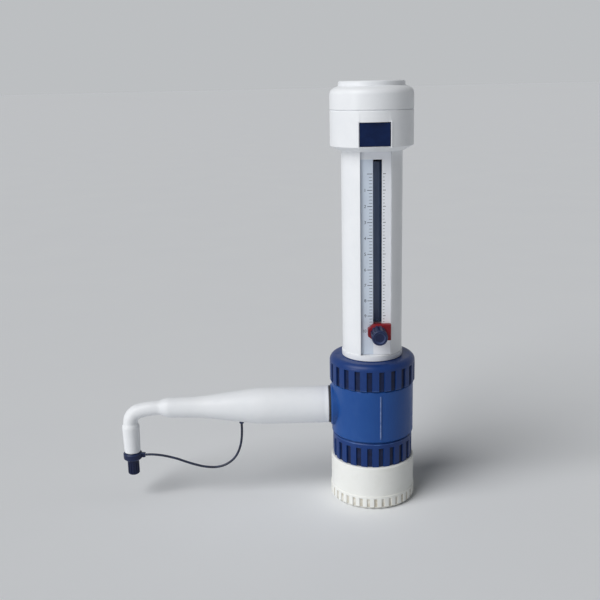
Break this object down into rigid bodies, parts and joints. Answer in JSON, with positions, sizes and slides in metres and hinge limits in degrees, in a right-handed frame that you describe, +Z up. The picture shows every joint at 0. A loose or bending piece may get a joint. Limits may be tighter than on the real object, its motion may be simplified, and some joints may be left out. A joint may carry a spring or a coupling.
{
  "type": "bottle-top dispenser",
  "caption": "Hand piston pump that screws onto a bottle and doses liquid through a bent discharge arm, with a slider that sets the volume.",
  "frame": {"origin": "on the piston axis, at the face that the bottle adapter stands on", "axes": "+Z up the piston axis, -X along the discharge arm, -Y towards the reader of the volume scale"},
  "size_m": [0.2006, 0.0614, 0.2787],
  "materials": {
    "cream_plastic": "satin moulded polypropylene",
    "white_plastic": "satin moulded polypropylene",
    "navy_plastic": "satin moulded polypropylene",
    "dark_plastic": "satin moulded polypropylene",
    "scale_grey": "printed plastic plate",
    "plate_navy": "smooth plastic plate",
    "slider_red": "moulded acetal",
    "fluoroplastic": "turned fluoropolymer",
    "clear_tube": "extruded fluoropolymer tube",
    "glass": "ground borosilicate glass",
    "steel": "turned stainless steel",
    "rubber": "moulded fluoroelastomer"
  },
  "bodies": {
    "base": {"bottle_adapter": "cream_plastic", "adapter_gasket": "rubber", "collar_nut": "navy_plastic"},
    "valve_block": {"valve_block": "navy_plastic", "swivel_ring": "white_plastic", "union_nut": "navy_plastic", "guide_tube": "dark_plastic", "glass_cylinder": "glass", "cylinder_seal": "fluoroplastic", "intake_valve_body": "fluoroplastic", "intake_seal": "rubber", "ball_retainer": "fluoroplastic", "vent_plug": "dark_plastic", "discharge_valve_body": "fluoroplastic", "discharge_spring": "steel", "arm_seal": "rubber", "discharge_arm": "white_plastic", "discharge_tube": "clear_tube", "tether_anchor": "dark_plastic", "cap_tether": "dark_plastic"},
    "plunger": {"sleeve": "white_plastic", "guide_bush": "white_plastic", "scale_panel": "scale_grey", "head_ring": "white_plastic", "head_lid": "white_plastic", "label_plate": "plate_navy", "head_screws": "steel", "piston_rod": "steel", "rod_nut": "steel", "piston": "fluoroplastic", "piston_seals": "rubber"},
    "slider": {"slider_block": "slider_red", "clamp_nut": "steel"},
    "knob": {"thumb_knob": "dark_plastic", "clamp_screw": "steel"},
    "nozzle_cap": {"nozzle_cap": "dark_plastic"},
    "intake_ball": {"intake_ball": "glass"},
    "discharge_ball": {"discharge_ball": "glass"}
  },
  "joints": [
    {"name": "block_swivel", "type": "hinge", "parent": "base", "child": "valve_block", "pos_m": [0, 0, 0], "axis": [0, 0, 1], "continuous": true},
    {"name": "plunger_lift", "type": "slide", "parent": "valve_block", "child": "plunger", "axis": [0, 0, 1], "range_m": [0, 0.1015]},
    {"name": "slider_set", "type": "slide", "parent": "plunger", "child": "slider", "axis": [0, 0, 1], "range_m": [0, 0.1015]},
    {"name": "knob_turn", "type": "hinge", "parent": "slider", "child": "knob", "pos_m": [0.0023, -0.0247, 0.1209], "axis": [0, -1, 0], "range_deg": [0, 360]},
    {"name": "cap_pull", "type": "slide", "parent": "valve_block", "child": "nozzle_cap", "axis": [0, 0, -1], "range_m": [0, 0.01]},
    {"name": "intake_ball_lift", "type": "slide", "parent": "valve_block", "child": "intake_ball", "axis": [0, 0, 1], "range_m": [0, 0.0015]},
    {"name": "discharge_ball_lift", "type": "slide", "parent": "valve_block", "child": "discharge_ball", "axis": [-1, 0, 0], "range_m": [0, 0.0015], "stiffness_N_per_m": 60, "springref_m": -0.002, "deforming": ["discharge_spring"]}
  ]
}
